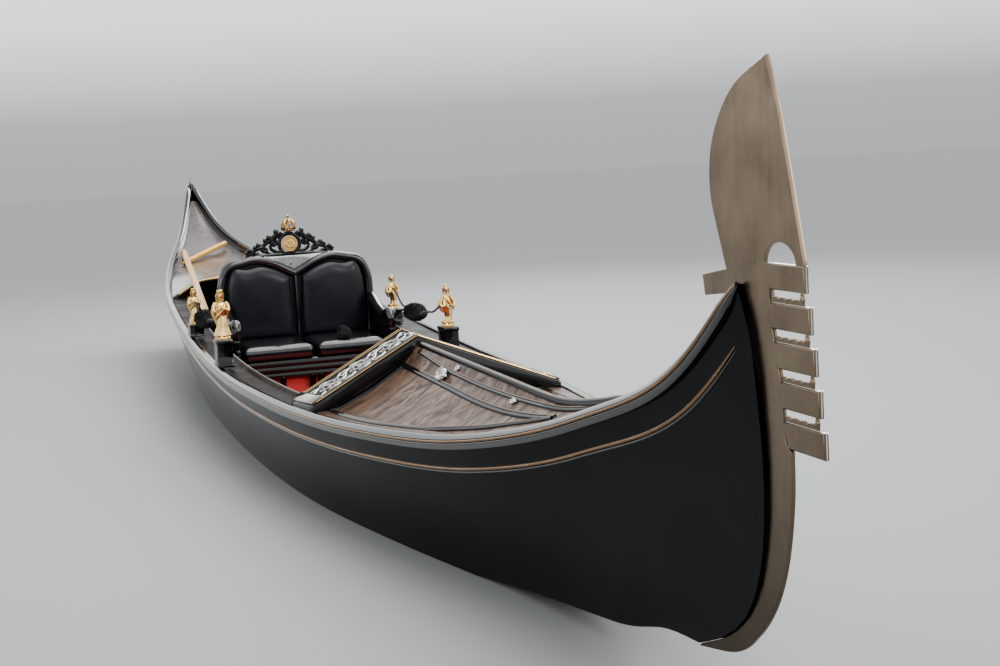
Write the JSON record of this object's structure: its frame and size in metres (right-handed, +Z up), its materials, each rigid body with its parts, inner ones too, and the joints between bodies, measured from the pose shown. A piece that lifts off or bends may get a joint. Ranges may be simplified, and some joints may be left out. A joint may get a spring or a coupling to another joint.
{
  "type": "gondola boat",
  "caption": "Long black rowing gondola with a steel bow iron, ridged foredeck, carved cross-board, leather love seat, brass figures and two oars.",
  "frame": {"origin": "on the underside of the flat bottom, amidships, on the line from bow iron to stern post", "axes": "+X towards the bow, +Y to port, +Z up"},
  "size_m": [10.8526, 1.46, 1.872],
  "materials": {
    "black_lacquer": "gloss",
    "brown_gloss": "gloss",
    "bronze_trim": "satin",
    "gilt_trim": "satin",
    "silver_relief": "satin",
    "brushed_steel": "brushed",
    "polished_brass": "polished",
    "black_leather": "satin",
    "black_thread": "matte",
    "red_carpet": "matte",
    "plain_wood": "satin",
    "oar_wood": "satin",
    "oar_wood_golden": "satin",
    "ivory_gilt": "gloss"
  },
  "bodies": {
    "root": {"hull_planking": "black_lacquer", "gunwale_port": "black_lacquer", "side_bead_port": "bronze_trim", "side_deck_port": "black_lacquer", "cross_board_carving_port": "silver_relief", "cross_board_edge_aft_port": "gilt_trim", "cross_board_edge_fore_port": "gilt_trim", "seat_cushion_port": "black_leather", "seat_arm_port": "black_lacquer", "tassel_port": "black_thread", "pedestal_fore_port": "black_lacquer", "pedestal_aft_port": "black_lacquer", "figure_fore_port": "polished_brass", "figure_aft_port": "polished_brass", "cord_fore_port": "black_thread", "cord_aft_port": "black_thread", "gunwale_starboard": "black_lacquer", "side_bead_starboard": "bronze_trim", "side_deck_starboard": "black_lacquer", "cross_board_carving_starboard": "silver_relief", "cross_board_edge_aft_starboard": "gilt_trim", "cross_board_edge_fore_starboard": "gilt_trim", "seat_cushion_starboard": "black_leather", "seat_arm_starboard": "black_lacquer", "tassel_starboard": "black_thread", "pedestal_fore_starboard": "black_lacquer", "pedestal_aft_starboard": "black_lacquer", "figure_fore_starboard": "polished_brass", "figure_aft_starboard": "polished_brass", "cord_fore_starboard": "black_thread", "cord_aft_starboard": "black_thread", "foredeck": "brown_gloss", "foredeck_rib": "bronze_trim", "cross_board": "black_lacquer", "stern_deck": "brown_gloss", "stern_beam": "black_lacquer", "keelson": "plain_wood", "floorboards": "plain_wood", "carpet": "red_carpet", "bow_iron": "brushed_steel", "stern_finial": "brushed_steel", "seat_base": "black_leather", "seat_back": "black_leather", "backboard": "black_lacquer", "medallion": "ivory_gilt", "crown": "gilt_trim", "oar_long": "oar_wood", "oar_short": "oar_wood_golden"}
  },
  "joints": []
}
